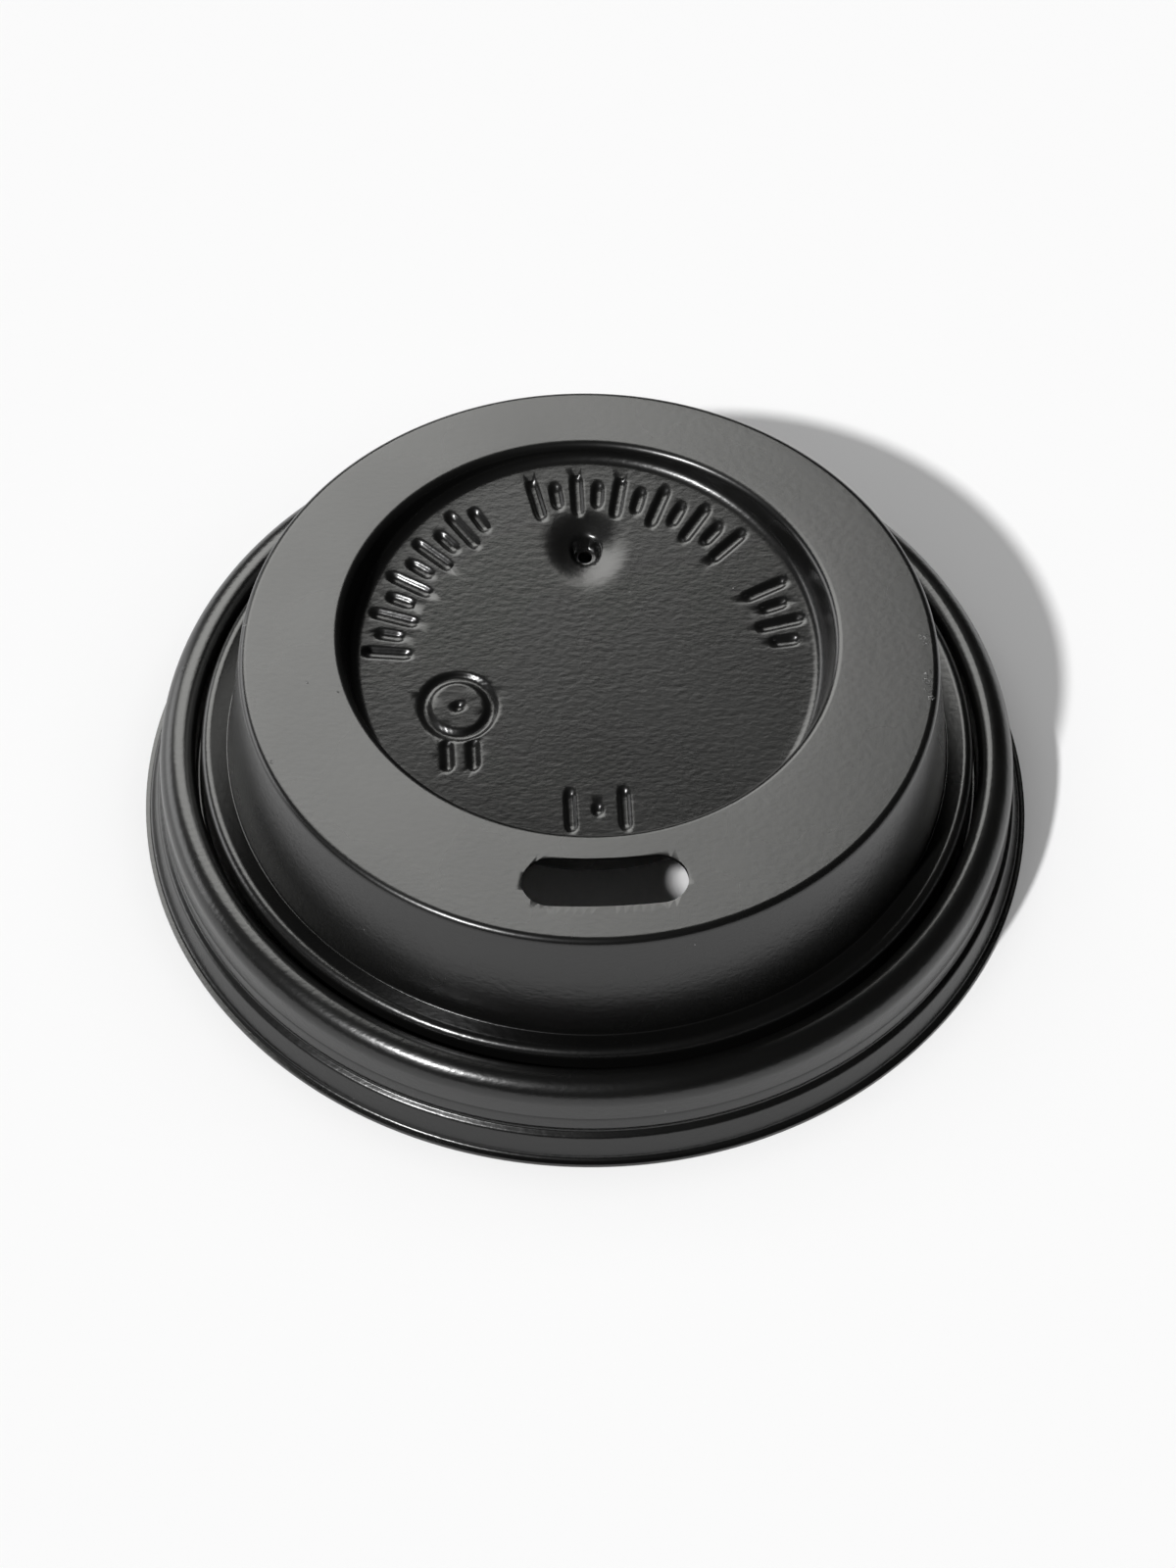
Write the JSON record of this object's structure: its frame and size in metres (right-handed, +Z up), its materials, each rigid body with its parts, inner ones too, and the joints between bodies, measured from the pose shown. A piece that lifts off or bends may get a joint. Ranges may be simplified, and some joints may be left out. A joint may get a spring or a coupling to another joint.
{
  "type": "coffee cup lid",
  "caption": "Thermoformed sip-through lid for a takeaway hot drink cup, with a sunk tilted panel, a sip slot, a vent, a plug groove, a rim bead and a flared skirt.",
  "frame": {"origin": "centre of the circle that the skirt stands on", "axes": "+Z up through the lid, -Y towards the sip slot, +Y towards the vent"},
  "size_m": [0.0836, 0.0836, 0.022],
  "materials": {
    "lid_plastic": "satin black thermoformed polystyrene with a fine orange-peel grain"
  },
  "bodies": {
    "root": {"cup_lid": "lid_plastic"}
  },
  "joints": []
}
